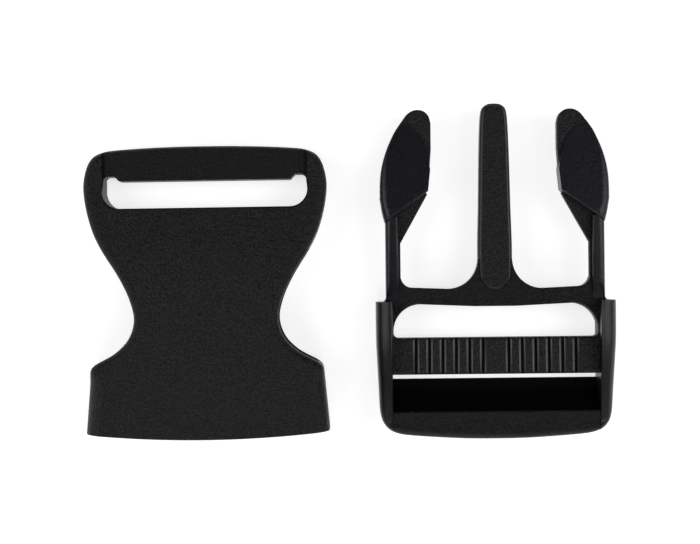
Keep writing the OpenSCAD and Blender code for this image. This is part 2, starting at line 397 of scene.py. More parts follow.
        self.pick(piece, bmesh.from_edit_mesh(piece.data).faces, is_upper)
        angles = [radians(90 * step / FLARE_STEPS) for step in range(FLARE_STEPS + 1)]
        wide = 0.0
        for low, high in zip(angles, angles[1:]):
            goal = flare * (1 - cos(high))
            self.extrude((0, 0, flare * (sin(high) - sin(low))))
            ratio = [(size + goal) / (size + wide) for size in half]
            bpy.ops.transform.resize(value=(*ratio, 1), center_override=(0, middle, 0))
            wide = goal
        self.extrude((0, 0, FAR))
        return self.close(piece)

    def bevel(
        self, piece: Piece, wanted: EdgeTest, width: float, steps: int, least: float = 0.0
    ) -> None:
        """Rounds the edges that a test picks.

        Args:
            piece: The piece to round.
            wanted: Says which edges are rounded.
            width: Width of the rounding.
            steps: Number of faces across it.
            least: Corners of those edges that lie nearer to one another are merged first.
        """
        mesh = self.edit(piece)
        if least:
            self.pick(piece, mesh.edges, wanted)
            bpy.ops.mesh.remove_doubles(threshold=least)
            mesh = self.edit(piece)
        if self.pick(piece, mesh.edges, wanted):
            bpy.ops.mesh.bevel(
                offset_type="OFFSET", offset=width, segments=steps, profile=0.5,
                affect="EDGES", clamp_overlap=False
            )
        self.leave()

    def weighted_bevel(self, piece: Piece, radius: Callable[[Edge], float], steps: int) -> None:
        """Rounds edges by a width of their own each.

        Args:
            piece: The piece to round.
            radius: The rounding of an edge, or 0 for none.
            steps: Number of faces across each rounding.
        """
        mesh = self.edit(piece)
        widths = [radius(edge) for edge in mesh.edges]
        widest = max(widths)
        layer = mesh.edges.layers.float.new("bevel_weight_edge")
        for edge, width in zip(mesh.edges, widths):
            edge[layer] = width / widest
        bmesh.update_edit_mesh(piece.data)
        self.leave()
        self.modify(
            piece, "BEVEL", limit_method="WEIGHT", width=widest, segments=steps,
            use_clamp_overlap=False
        )

    def rung(self, piece: Piece, reach: Row) -> None:
        """Joins left and right of a piece's widest upper face, so that it can bend lengthwise.

        Args:
            piece: A piece that is the same on the left and on the right.
            reach: The places along the buckle between which the rungs lie.
        """
        mesh = self.edit(piece, "VERT")
        upper = [face for face in mesh.faces if face.normal.z > 0.5]
        widest = max(upper, key=lambda face: len(face.verts))
        corners = sorted(
            ((v.index, v.co.copy()) for v in widest.verts), key=lambda corner: corner[1].y
        )
        left = [corner for corner in corners if corner[1].x < -10 * TOUCH]
        right = [corner for corner in corners if corner[1].x > 10 * TOUCH]
        pairs, reached = [], reach[0]
        for index, place in right[1:-1]:
            if place.y - reached < RUNG_GAP or place.y > reach[1]:
                continue
            twin = Vector((-place.x, place.y, place.z))
            match, found = min(left, key=lambda corner: (corner[1] - twin).length)
            if (found - twin).length < TOUCH:
                pairs.append((index, match))
                reached = place.y
        for pair in pairs:
            bpy.ops.mesh.select_all(action="DESELECT")
            mesh = bmesh.from_edit_mesh(piece.data)
            mesh.verts.index_update()
            self.pick(piece, mesh.verts, lambda vert: vert.index in pair)
            bpy.ops.mesh.vert_connect()
        self.leave()

    def slice_off(self, piece: Piece, place: Sequence[float], away: Sequence[float]) -> None:
        """Cuts off what lies beyond a plane and closes the cut.

        Args:
            piece: The piece to cut.
            place: A point on the plane.
            away: The direction in which the material goes away.
        """
        self.edit(piece, select="SELECT")
        bpy.ops.mesh.bisect(plane_co=place, plane_no=away, use_fill=True, clear_outer=True)
        self.leave()
        self.face_outwards(piece)

    def round_sharp(
        self, piece: Piece, here: Callable[[Vector], bool], width: float, steps: int = 3
    ) -> None:
        """Rounds the sharp outer edges whose two ends both lie at a place.

        Args:
            piece: The piece to round.
            here: Says whether a point lies at the place.
            width: Width of the rounding.
            steps: Number of faces across it.
        """
        def sharp(edge: Edge) -> bool:
            """Whether an edge is sharp, looks outwards and lies at the place.

            Args:
                edge: The edge to judge.

            Returns:
                Whether the edge is sharp and lies at the place.
            """
            return (
                len(edge.link_faces) == 2 and edge.is_convex
                and edge.calc_face_angle(0) > radians(SHARP_ANGLE) and all(map(here, ends(edge)))
            )

        self.bevel(piece, sharp, width, steps, width / 2)

    def merge(self, piece: Piece, way: Merge, *tools: Piece) -> None:
        """Cuts, joins or trims a piece with other solids, which are used up.

        Args:
            piece: The piece that stays.
            way: How the piece and each solid become one.
            tools: The solids that are used up, one after another.
        """
        for tool in tools:
            self.take(piece)
            self.modify(
                piece, "BOOLEAN", operation=way.value, solver="EXACT", material_mode="TRANSFER",
                object=tool
            )
            self.take(tool)
            bpy.ops.object.delete()

    def soften(self, piece: Piece, width: float, steps: int, angle: float) -> None:
        """Breaks every sharp edge of a finished form by a small rounding.

        Args:
            piece: The finished form.
            width: Width of the rounding.
            steps: Number of faces across it.
            angle: Edges that bend more than this, in degrees, are rounded.
        """
        self.edit(piece, select="SELECT")
        bpy.ops.mesh.remove_doubles(threshold=SLIVER)
        bpy.ops.mesh.dissolve_degenerate(threshold=SLIVER)
        bpy.ops.mesh.dissolve_limited(angle_limit=radians(FLAT_ANGLE), delimit={"MATERIAL"})
        bpy.ops.mesh.normals_make_consistent(inside=False)
        self.leave()
        self.modify(
            piece, "BEVEL", limit_method="ANGLE", angle_limit=radians(angle), width=width,
            segments=steps, use_clamp_overlap=False, miter_outer="MITER_ARC"
        )

    def mirror_copy(self, piece: Piece) -> Piece:
        """A copy of a piece on the other side of the buckle.

        Args:
            piece: The piece on the right.

        Returns:
            The piece on the left, with a mesh of its own.
        """
        self.take(piece)
        bpy.ops.object.duplicate(linked=False)
        copy = bpy.context.object
        self.edit(copy, select="SELECT")
        bpy.ops.transform.resize(value=(-1, 1, 1), center_override=(0, 0, 0))
        self.leave()
        self.face_outwards(copy)
        return copy

    def finish(self, piece: Piece, shift: Sequence[float], lean: float) -> None:
        """Puts a moulding in its place in metres, with smooth curves and flat faces.

        Args:
            piece: The moulding, in millimetres.
            shift: Where its own middle goes, in millimetres.
            lean: How far it lies turned on the surface, in degrees.
        """
        self.face_outwards(piece)
        self.take(piece)
        piece.rotation_euler.z = radians(lean)
        bpy.ops.object.transform_apply()
        bpy.ops.transform.translate(value=shift)
        bpy.ops.transform.resize(value=(MILLIMETRE,) * 3, center_override=(0, 0, 0))
        bpy.ops.object.transform_apply()
        bpy.ops.object.shade_smooth_by_angle(angle=radians(SMOOTH_ANGLE))
        self.modify(piece, "WEIGHTED_NORMAL", keep_sharp=True, weight=60)


BENCH = Bench()


@dataclass(frozen=True)
class Finish:
    """How a moulded face looks: the plastic itself, and the texture that its mould left on it.

    Lengths are in millimetres. The contrast is the share by which the grain's hollows are darker.
    """

    name: str
    colour: tuple[float, float, float]
    roughness: float
    specular: float
    grain: float
    relief: float
    contrast: float
    ior: float = 1.48
    noise_roughness: float = 0.65
    noise_range: Row = (0.33, 0.67)
    tone_range: Row = (0.4, 0.6)
    polish_swing: Row = (0.08, 0.12)
    cloud: float = 2.5
    cloud_share: float = 0.25
    pit_density: float = 0.6
    pit_share: float = 0.4

    def material(self) -> bpy.types.Material:
        """Builds the node material.

        Returns:
            The material, made once and then found again by its name.
        """
        found = bpy.data.materials.get(self.name)
        if found:
            return found
        material = bpy.data.materials.new(self.name)
        material.use_nodes = True
        nodes, links = material.node_tree.nodes, material.node_tree.links
        place = nodes.new("ShaderNodeTexCoord").outputs["Object"]

        def wire(node: bpy.types.Node, inputs: dict[str, Any]) -> None:
            """Sets a node's inputs to values, or wires other nodes' outputs to them.

            Args:
                node: The node to set.
                inputs: Values or outputs by the inputs' names.
            """
            for key, value in inputs.items():
                if isinstance(value, bpy.types.NodeSocket):
                    links.new(value, node.inputs[key])
                else:
                    node.inputs[key].default_value = value

        def add(kind: str, inputs: dict[str, Any], **settings: str) -> bpy.types.NodeSocket:
            """Adds a node with its settings and inputs, and returns its first output.

            Args:
                kind: The node's type.
                inputs: Values or outputs by the inputs' names.
                settings: The node's own settings.

            Returns:
                The node's first output.
            """
            node = nodes.new("ShaderNode" + kind)
            for key, value in settings.items():
                setattr(node, key, value)
            wire(node, inputs)
            return node.outputs[0]

        def noise(size: float, detail: float) -> bpy.types.NodeSocket:
            """A noise with spots of a size in millimetres.

            Args:
                size: The size of the texture's cells.
                detail: How many finer layers it has.

            Returns:
                The texture's value.
            """
            return add("TexNoise", {
                "Vector": place, "Scale": 1 / (size * MILLIMETRE), "Detail": detail,
                "Roughness": self.noise_roughness
            })

        fine = noise(self.grain, 2)
        polish = add("Mix", {
            "Factor": self.cloud_share, "A": fine, "B": noise(self.cloud, 4)
        }, data_type="FLOAT")
        steady, grained = self.polish_swing
        swing = self.roughness * (steady + grained * self.contrast)
        pits = add("TexVoronoi", {
            "Vector": place, "Scale": self.pit_density / (self.grain * MILLIMETRE),
            "Smoothness": 0.5
        }, feature="SMOOTH_F1")
        tone = nodes.new("ShaderNodeValToRGB")
        wire(tone, {"Fac": fine})
        for stop, position, side in zip(tone.color_ramp.elements, self.tone_range, (-1, 1)):
            stop.position = position
            stop.color = (*[c * (1 + side * self.contrast) for c in self.colour], 1)
        wire(nodes["Principled BSDF"], {
            "IOR": self.ior,
            "Specular IOR Level": self.specular,
            "Base Color": tone.outputs["Color"],
            "Roughness": add("MapRange", {
                "Value": polish,
                "From Min": self.noise_range[0], "From Max": self.noise_range[1],
                "To Min": self.roughness - swing, "To Max": self.roughness + swing
            }),
            "Normal": add("Bump", {
                "Strength": 1, "Distance": self.relief * MILLIMETRE,
                "Height": add("Mix", {
                    "Factor": self.pit_share, "A": fine, "B": pits
                }, data_type="FLOAT")
            })
        })
        return material

    def dress(self, piece: Piece) -> Piece:
        """Gives the whole of a piece this finish, and returns it.

        Args:
            piece: The piece to work on.

        Returns:
            The same piece.
        """
        piece.data.materials.clear()
        piece.data.materials.append(self.material())
        return piece

    def paint(self, piece: Piece, here: FaceTest) -> None:
        """Gives this finish to some faces of a piece.

        Args:
            piece: The piece to paint.
            here: Says which faces get the finish.
        """
        piece.data.materials.append(self.material())
        mesh = BENCH.edit(piece, "FACE")
        BENCH.pick(piece, mesh.faces, here)
        piece.active_material_index = len(piece.data.materials) - 1
        bpy.ops.object.material_slot_assign()
        BENCH.leave()


SPARK_GRAIN = Finish(
    "spark_grained_acetal", colour=(0.0062, 0.0065, 0.0068), roughness=0.42, specular=0.165,
    grain=0.33, relief=0.3, contrast=0.98
)
# A darker, less glossy copy of the spark grain: painted shade on the low crossbar, the end bar and
# the socket's lowered bar face.
PAINTED_SHADE_GRAIN = Finish(
    "painted_shade_grained_acetal", colour=(0.0042, 0.0045, 0.0047), roughness=0.39, specular=0.13,
    grain=0.31, relief=0.26, contrast=0.98
)
SATIN = Finish(
    "satin_acetal", colour=(0.0021, 0.0024, 0.0048), roughness=0.34, specular=0.25,
    grain=0.4, relief=0.05, contrast=0.4
)
WORN_EDGE = Finish(
    "edge_worn_by_webbing", colour=(0.005, 0.005, 0.006), roughness=0.3, specular=0.36,
    grain=0.4, relief=0.03, contrast=0.3
)
# Smooth, near black and with almost no reflection: painted shade for the ramp, deep in its pocket
# between the rails.
SMOOTH_PAINTED_SHADE = Finish(
    "smooth_acetal_painted_shade", colour=(0.0013, 0.0015, 0.0014), roughness=0.3, specular=0.02,
    grain=0.4, relief=0.01, contrast=0.1
)


@dataclass
class Moulding:
    """What the two halves of the buckle share. All measures are in millimetres and degrees."""

    name: str
    offset: float
    end_h: float
    slope_y: Row
    body_h: float = 10.5
    slot_w: float = 40.0
    lower_round: float = 1.0
    middle_y: float = 0.15
    lean: float = 0.0
    end_margin: float = 0.1

    @property
    def mid_z(self) -> float:
        """Height of the middle plane."""
        return self.body_h / 2

    @property
    def slot_half(self) -> float:
        """Half of the webbing slots' width."""
        return self.slot_w / 2

    def top(self, y: float) -> float:
        """Height of the upper face at a place along the buckle."""
        start, end = self.slope_y
        return between(self.body_h, self.end_h, ease((y - start) / (end - start)))

    def plate(self, name: str, rows: Rows, half: float) -> Piece:
        """A flat form about the middle plane, with half of its thickness given."""
        return BENCH.prism(name, Plane.FLAT, rows, self.mid_z - half, self.mid_z + half)

    def place(self, piece: Piece) -> Piece:
        """Puts the finished moulding where it lies, and returns it."""
        BENCH.finish(piece, (self.offset, self.middle_y, 0), self.lean)
        return piece


@dataclass
class Socket(Moulding):
    """The half that takes the prong and the arms: two plates, a collar and a webbing bar."""

    name: str = "socket_moulding"
    offset: float = -27.7
    end_h: float = 8.0
    slope_y: Row = (-6.0, 24.6)
    slot_w: float = 39.5
    lean: float = 0.3
    plate_wall: float = 1.75
    plate_round: float = 1.3
    collar_round: float = 3.2
    collar_round_y: Row = (-17.3, -21.5)
    collar_round_steps: int = 6
    collar_inside: float = 21.2
    collar_inside_round: float = 0.8
    collar_far: Row = (24.11, -38.0)
    collar_corner: Row = (22.4, -18.6)
    mouth_y: float = -31.9
    mouth_radius: float = 215.0
    mouth_sweep: float = 14.0
    mouth_steps: int = 40
    slot_y: Row = (12.7, 18.0)
    slot_corner: float = 3.4
    notch_round: float = 1.0
    notch_end: float = 0.2
    notch_bend: Row = (17.55, 0.4)
    notch_x: float = 16.45
    notch_rise: float = 0.95
    bar_low_z: float = 2.2
    bar_drop: float = 0.25
    bar_start: float = 3.0
    bar_end_w: float = 1.6
    bar_end_step: Row = (0.18, 0.2)
    bar_end_fall: float = 0.2
    window_y: Row = (-17.4, 4.5)
    window_round: float = 0.9
    window_least_x: float = 13.0
    roof_steps: int = 8
    inner_foot: float = 1.0
    arm_pocket: Row = (17.6, 6.95)
    prong_pocket: Row = (3.4, 7.9)
    guide_rib: Row = (3.9, 1.0)
    guide_rib_y: Row = (-2.0, 7.5)
    guide_rib_sunk: float = 0.5
    ledge_x: float = 19.0
    ledge_y: Row = (-21.0, -17.45)
    ledge_bite: float = 0.3
    ledge_rise: float = 0.65
    edge_round: float = 0.28
    rim_round: float = 0.35
    shoulder_rows: Rows = ((22.1, -17.85), (21.5, -17.3))
    waist_rows: Rows = (
        (20.6, -16.75), (19.3, -16.1), (17.45, -15), (15.45, -13.1), (14.3, -11), (13.85, -8.7),
        (14.2, -6.4), (15.3, -3.3), (17.25, 0.4), (19.75, 4.3), (21.6, 8), (22.8, 12),
        (23.35, 15.2), (23.45, 17.4), (23.15, 19.5), (22.5, 21.45), (21.45, 22.8), (19.8, 23.6),
        (17.6, 24.0), (12, 24.35), (6, 24.55), (2, 24.6)
    )

    def form(self) -> Piece:
        """The outside of the socket before it is opened, with its roundings.

        Returns:
            The solid form with its roundings.
        """
        rows = [self.collar_far, self.collar_corner, *self.shoulder_rows, *curve(self.waist_rows)]
        piece = BENCH.slab(self.name, rows, self.top)
        past_mouth = self.collar_far[1] + self.end_margin

        def is_rim(edge: Edge, upper: bool) -> bool:
            """Whether an edge is of the upper or lower outline, and not beyond the mouth.

            Args:
                edge: The edge to judge.
                upper: Whether the upper rim is meant.

            Returns:
                Whether the edge belongs to the rim.
            """
            a, b = ends(edge)
            level = min(a.z, b.z) > LOWER_Z if upper else max(a.z, b.z) < LOWER_Z
            return level and max(a.y, b.y) > past_mouth

        BENCH.bevel(piece, lambda edge: is_rim(edge, True), self.plate_round, 6)
        BENCH.bevel(piece, lambda edge: is_rim(edge, False), self.lower_round, 4)
        BENCH.rung(piece, (self.slope_y[0] - 1, self.slope_y[1] - 2))
        return piece

    def mouth_cutter(self) -> Piece:
        """A block spun about the middle of the mouth's wide curve, to cut the mouth.

        Returns:
            The cutter for the mouth.
        """
        sweep = radians(self.mouth_sweep)
        centre = Vector((0, self.mouth_y + self.mouth_radius, 0))
        near, far = -self.mouth_radius, -FAR - self.mouth_radius
        low, high = 5 * BELOW, FAR / 2
        rows = [(far, low), (near, low), (near, high), (far, high)]
        piece = BENCH.outline("mouth cutter", [Vector((0, y + centre.y, z)) for y, z in rows])
        bpy.ops.transform.rotate(
            value=-sweep / 2, orient_axis="Z", orient_type="GLOBAL", center_override=centre
        )
        bpy.ops.mesh.spin(steps=self.mouth_steps, angle=sweep, center=centre, axis=(0, 0, 1))
        return BENCH.close(piece)

    def collar_side_cutter(self) -> Piece:
        """What rounds off the collar's upper right side, less and less towards its corner.

        Returns:
            The cutter on the right.
        """
        radius, top, steps = self.collar_round, self.body_h, self.collar_round_steps
        (x0, y0), (x1, y1) = self.collar_corner, self.collar_far
        start, end = self.collar_round_y
        reach, past = TOUCH - radius, 2
        rows = [
            *arc((reach, top + reach), radius, 0, 90, 12), (reach, top + past),
            (past, top + past), (past, top + reach),
        ]
        piece = BENCH.outline(
            "collar side cutter", [Plane.END_VIEW.point(x, z, 0) for x, z in rows]
        )
        BENCH.extrude((0, end - y1, 0))
        size, least = 1.0, (self.plate_round - 0.1) / radius
        for step in range(1, steps + 1):
            goal = between(1, least, ease(step / steps))
            BENCH.extrude((0, (start - end) / steps, 0))
            bpy.ops.transform.resize(
                value=(goal / size, 1, goal / size), center_override=(0, 0, top)
            )
            size = goal
        BENCH.close(piece)
        BENCH.take(piece)
        piece.rotation_euler.z = atan2(x1 - x0, y0 - y1)
        piece.location = (x1, y1, 0)
        bpy.ops.object.transform_apply()
        return piece

    def space(self, half_width: float, y: Row, corner: float = 0.0) -> Piece:
        """A space between the plates, whose roof follows the upper face.

        Args:
            half_width: Half of its width.
            y: Where it starts and ends along the buckle.
            corner: Rounding where its ends meet the plates.

        Returns:
            The cutter for the space.
        """
        low, high = y
        roof = [between(high, low, step / self.roof_steps) for step in range(self.roof_steps + 1)]
        rows = [(low, self.plate_wall), (high, self.plate_wall)]
        rows += [(place, self.top(place) - self.plate_wall) for place in roof]
        piece = BENCH.prism("space", Plane.SIDE_VIEW, rows, -half_width, half_width)

        def is_corner(edge: Edge) -> bool:
            """Whether an edge runs across the buckle at one end of the space."""
            return runs_across(edge) and min(abs(ends(edge)[0].y - end) for end in y) < TOUCH

        if corner:
            BENCH.bevel(piece, is_corner, corner, 4)
        return piece

    def slot_cutter(self) -> Piece:
        """The webbing slot with a notch at each end of the bar, and a rounded rim.

        Returns:
            The cutter for the slot.
        """
        low, high = self.slot_y
        top, end, corner = high + self.notch_rise, self.notch_round, self.slot_corner
        bend_x, bend = self.notch_bend
        right = [
            *arc((self.slot_half - corner, low + corner), corner, -90, 0, 10),
            *arc((self.slot_half - end - self.notch_end, top - end), end, 0, 90, 8),
            *arc((bend_x, top - bend), bend, 90, 135, 3), (self.notch_x, high),
        ]
        return BENCH.flared("slot cutter", right, self.rim_height, self.rim_round)

    def rim_height(self, x: float, y: float) -> float:
        """Height of the upper face, or of the lowered bar, at a place on the slot's rim.

        Args:
            x: The place across the buckle.
            y: The place along the buckle.

        Returns:
            The height in millimetres.
        """
        if y < self.slot_y[0] + self.slot_corner + 1:
            return self.top(y)
        (near, face), (crease, low), (wall, lowest) = self.bar_profile()
        place = min(max(abs(x), near), wall)
        if place < crease:
            return between(face, low, (place - near) / (crease - near))
        return between(low, lowest, (place - crease) / (wall - crease))

    def bar_profile(self) -> list[Row]:
        """The bar's face near its end: a small step, and a gentle fall to the wall.

        Returns:
            The profile's corners.
        """
        face, start = self.end_h - self.bar_drop, self.slot_half - self.bar_end_w
        width, drop = self.bar_end_step
        low = face - drop
        return [(start, face), (start + width, low), (self.slot_half, low - self.bar_end_fall)]

    def bar_cutters(self) -> list[Piece]:
        """What lowers the bar's face, and its ends a little more, and what raises its underside.

        Returns:
            The cutters above and below the bar.
        """
        half, start = self.slot_half, self.slot_y[0] + self.bar_start
        right = self.bar_profile()
        rows = [(-half, FAR), *mirrored(right), *right, (half, FAR)]
        return [
            BENCH.prism("bar face cutter", Plane.END_VIEW, rows, start, FAR),
            BENCH.block("bar underside cutter", (-half, start, BELOW), (half, FAR, self.bar_low_z)),
        ]

    def collar_space(self) -> Piece:
        """The space inside the collar, around the ledges that the arm heads snap behind.

        Returns:
            The cutter for the space.
        """
        inside, wall = self.collar_inside, self.plate_wall
        space = BENCH.block(
            "collar space", (-inside, -FAR, wall),
            (inside, self.window_y[0] + 1, self.body_h - wall)
        )
        BENCH.bevel(space, runs_along, self.collar_inside_round, 4)
        (low, high), thick = self.ledge_y, wall - self.inner_foot + self.ledge_rise
        for z in (self.inner_foot, self.body_h - wall - self.ledge_rise):
            ledge = BENCH.block(
                "latch ledge", (self.ledge_x, low, z),
                (inside + self.ledge_bite, high, z + thick)
            )
            BENCH.merge(space, Merge.CUT, BENCH.mirror_copy(ledge), ledge)
        return space

    def guide_ribs(self) -> list[Piece]:
        """The two ribs that steer the prong, to join to the socket.

        Returns:
            The ribs.
        """
        x, width = self.guide_rib
        near, far = self.guide_rib_y
        top = self.end_h - self.guide_rib_sunk
        rib = BENCH.block("guide rib", (x, near, self.inner_foot), (x + width, far, top))
        return [rib, BENCH.mirror_copy(rib)]

    def on_mouth(self, point: Vector) -> bool:
        """Whether a point lies on the mouth's wide curve.

        Args:
            point: The place to judge.

        Returns:
            Whether it lies on the mouth's edge.
        """
        centre = self.mouth_y + self.mouth_radius
        distance = Vector((point.x, point.y - centre)).length
        return abs(distance - self.mouth_radius) < 3 * TOUCH

    def beside_window(self, point: Vector) -> bool:
        """Whether a point lies where a side window opens, clear of the collar.

        Args:
            point: The place to judge.

        Returns:
            Whether it lies beside a window.
        """
        low, high = self.window_y
        between_plates = self.inner_foot < point.z < self.body_h - self.inner_foot
        beside = low + 0.6 < point.y < high + TOUCH and abs(point.x) > self.window_least_x
        return between_plates and beside

    def on_bar(self, face: Face) -> bool:
        """Whether a face belongs to the lowered face of the bar.

        Args:
            face: The face to judge.

        Returns:
            Whether it lies on the bar.
        """
        middle, bar_z = face.calc_center_median(), self.end_h - self.bar_drop + TOUCH
        lowered = bar_z - 1 < middle.z < bar_z and abs(middle.x) < self.slot_half
        return lowered and middle.y > self.slot_y[1] - 0.3 and face.normal.z > 0.7

    def build(self) -> Piece:
        """Models the whole socket and returns it in metres.

        Returns:
            The finished moulding in metres.
        """
        piece, side = self.form(), self.collar_side_cutter()
        BENCH.merge(
            piece, Merge.CUT, BENCH.mirror_copy(side), side, self.mouth_cutter(),
            self.collar_space(), self.space(FAR, self.window_y, self.window_round)
        )
        BENCH.round_sharp(piece, self.beside_window, self.edge_round)
        for half_width, depth in (self.arm_pocket, self.prong_pocket):
            BENCH.merge(piece, Merge.CUT, self.space(half_width, (0.0, depth)))
        BENCH.merge(piece, Merge.JOIN, *self.guide_ribs())
        BENCH.merge(piece, Merge.CUT, *self.bar_cutters(), self.slot_cutter())
        BENCH.round_sharp(piece, self.on_mouth, self.edge_round)
        SPARK_GRAIN.dress(piece)
        # The lowered bar face gets the darker copy of the grain as painted shade.
        PAINTED_SHADE_GRAIN.paint(piece, self.on_bar)
        return self.place(piece)


@dataclass
class Plug(Moulding):
    """The half with the prong and the two arms: a frame, a ribbed bar and a bent end bar."""

    name: str = "plug_moulding"
    offset: float = 28.1
    end_h: float = 7.6
    slope_y: Row = (-10.0, -32.0)
    rail_round: float = 3.0
    rail_round_y: Row = (-31.0, -26.0)
    rail_lip: float = 0.5
    rail_lip_rows: tuple[int, int] = (-40, 10)
    rail_lip_shift: float = 0.37
    lip_round: float = 1.3
    shoulder_y: float = -5.85
    shoulder_fillet: float = 0.8
    crossbar_low_y: Row = (-6.87, -6.4)
    crossbar_top_y: float = -3.45
    crossbar_h: float = 3.6
    crossbar_inset: float = 0.35
    crossbar_slope: float = 0.08
    slot_low_y: float = -12.87
    slot_round: float = 5.2
    slot_low_round: float = 1.0
    slot_rim: float = 0.25
    slot_corner_x: float = 13.5
    arch_x: float = 4.0
    rib_bar_y: Row = (-20.0, -12.87)
    rib_bar_z: Row = (2.5, 7.0)
    rib_bar_round: float = 0.7
    groove_count: int = 6
    groove_pitch: float = 2.59
    groove_middle: float = 4.97
    groove_w: Row = (0.2, 0.6)
    groove_depth: float = 0.9
    groove_lip: Row = (0.4, 0.17)
    groove_lip_sag: float = 0.42
    groove_lip_rise: float = 0.004
    ramp_foot: Row = (-20.95, 0.8)
    ramp_crest: Row = (-26.9, 7.15)
    ramp_step: float = 0.4
    ramp_round: float = 0.25
    bend_ratio: Row = (0.6, 1.45)
    end_bar_wall: float = 2.2
    end_bar_scale: float = 0.999
    band_drop: float = 0.45
    overlap: float = 0.1
    strip_h: float = 5.3
    strip_x: Row = (18.75, 21.15)
    strip_low_y: float = -6.2
    strip_round: float = 1.1
    strip_inner_round: float = 0.4
    strip_slope_start: float = 4.2
    strip_slope: Row = (-0.25, 0.97)
    web_h: float = 2.0
    web_x: float = 18.25
    web_low_y: float = -2.5
    web_knee_y: float = 5.4
    web_corner: Row = (0.12, -0.64)
    head_h: float = 6.5
    head_inset: float = 0.12
    head_slope: float = 5.5
    head_slope_y: float = 12.0
    head_round: float = 1.6
    head_round_end: float = 0.3
    head_round_y: Row = (14.0, 26.0)
    head_round_reach: Row = (18.0, 26.4)
    head_inner_top: Row = (12.2, 23.5)
    head_inner: Row = (12.85, 15.45)
    plate_h: float = 3.3
    plate_round: float = 0.4
    ridge_outer: Row = (21.15, 9.5)
    ridge_round: float = 0.4
    prong_h: float = 3.4
    prong_round: float = 0.6
    prong_fillet: float = 5.8
    prong_fillet_x: float = 9.1
    panel_rise: float = 0.4
    panel_inset: float = 0.4
    panel_round: float = 0.25
    panel_end: Row = (2.9, -0.6)
    panel_tip: Row = (0.3, 31.9)
    arm_fillet: float = 2.2
    arm_fillet_rise: float = 0.3
    edge_round: float = 0.3
    frame_rows: Rows = (
        (23.1, 2), (23.1, -12), (22.93, -17), (22.67, -22.7), (22.5, -26.6), (22.15, -28.5),
        (21.5, -29.75), (20.5, -30.7), (19.05, -31.37), (16.65, -31.78), (11, -32.2), (6, -32.47),
        (2, -32.55)
    )
    head_rows: Rows = (
        (21.15, 9), (21.85, 11.9), (22.15, 15.2), (21.9, 19.3), (21.05, 22.8), (19.55, 26.3),
        (17.85, 28.9), (16.8, 30.3), (15.8, 30.98), (14.7, 31.2), (13.5, 30.9), (12.6, 30),
        (12.2, 28.6)
    )
    pad_row_count: int = 7
    pad_edge: Rows = ((12.4, 19.6), (12.9, 22.6), (14.2, 25.9), (17.2, 29.4))
    prong_rows: Rows = (
        (3.3, -4), (3.3, 5), (3.1, 12), (2.9, 22), (2.68, 28.3), (2.4, 30.9), (1.9, 31.75),
        (1.1, 32.2), (0.3, 32.3)
    )

    def frame_form(self, name: str, drop: float, side_round: float) -> Piece:
        """The frame's outer form, which the rails and the end bar are cut from.

        Args:
            name: The new solid's name.
            drop: How far the upper face lies below the rails' height.
            side_round: Rounding along the sides.

        Returns:
            The solid form with its roundings.
        """
        rows = list(reversed(curve(self.frame_rows)))
        piece = BENCH.slab(name, rows, lambda y: self.top(y) - drop)
        start, end = self.rail_round_y
        open_end = self.frame_rows[0][1] - self.end_margin

        def radius(edge: Edge) -> float:
            """The rounding of one edge of the form.

            Args:
                edge: The edge to judge.

            Returns:
                The rounding's radius, or 0 for none.
            """
            a, b = ends(edge)
            if min(a.y, b.y) > open_end or abs(a.z - b.z) > 3 * LONG_EDGE:
                return 0.0
            if max(a.z, b.z) < LOWER_Z:
                return self.lower_round
            middle = (a.y + b.y) / 2
            return between(self.lip_round, side_round, ease((middle - start) / (end - start)))

        BENCH.weighted_bevel(piece, radius, 8)
        BENCH.rung(piece, (-FAR, FAR))
        return piece

    def rails(self) -> Piece:
        """The two rails, from the shoulders to the outer end.

        Returns:
            The rails.
        """
        piece = self.frame_form(self.name, 0.0, self.rail_round)
        rows = [(self.slot_half, y - self.rail_lip_shift) for y in range(*self.rail_lip_rows)]
        inside = BENCH.flared("inside", rows, lambda x, y: self.top(y), self.rail_lip)
        beyond = BENCH.block("beyond", (-FAR, self.shoulder_y, BELOW), (FAR, FAR, FAR))
        BENCH.merge(piece, Merge.CUT, inside, beyond)

        def on_lip(face: Face) -> bool:
            """Whether a face belongs to the rounded inner edge of a rail."""
            return face.normal.z > 0.25 and face.normal.x * face.calc_center_median().x < -4

        SATIN.dress(piece)
        WORN_EDGE.paint(piece, on_lip)
        return piece

    def end_bar(self) -> Piece:
        """The end bar: a ramp that rises from the ribbed bar, and a band with a curved lip.

        Returns:
            The end bar between the rails.
        """
        wall, step, (bend, depth) = self.end_bar_wall, self.ramp_step, self.bend_ratio
        (foot_y, foot_z), (crest_y, crest_z) = self.ramp_foot, self.ramp_crest
        beyond = 3 * Vector((crest_y - foot_y, crest_z - foot_z))
        under = crest_z - depth * wall
        rows = [
            self.ramp_foot, (foot_y - step, 0.0), (foot_y - depth * wall - step, 0.0),
            (crest_y - bend * wall, under), (-FAR, under), (-FAR, crest_z + beyond.y),
            (crest_y + beyond.x, crest_z + beyond.y),
        ]
        piece = self.frame_form("end bar", self.band_drop, self.lip_round)
        BENCH.take(piece)
        scale, half = self.end_bar_scale, self.slot_half + self.overlap
        bpy.ops.transform.resize(value=(scale, scale, 1), center_override=(0, 0, 0))
        bpy.ops.object.transform_apply()
        bent = BENCH.prism("bent profile", Plane.SIDE_VIEW, rows, -half, half)
        BENCH.merge(piece, Merge.KEEP_COMMON, bent)
        BENCH.round_sharp(piece, lambda point: point.y > crest_y - 1, self.ramp_round)
        # The whole end bar gets the darker copy of the grain as painted shade.
        PAINTED_SHADE_GRAIN.dress(piece)
        # The ramp's faces get the near-black finish as painted shade.
        SMOOTH_PAINTED_SHADE.paint(piece, lambda face: face.normal.y > 0.6 and face.normal.z > 0.5)
        return piece

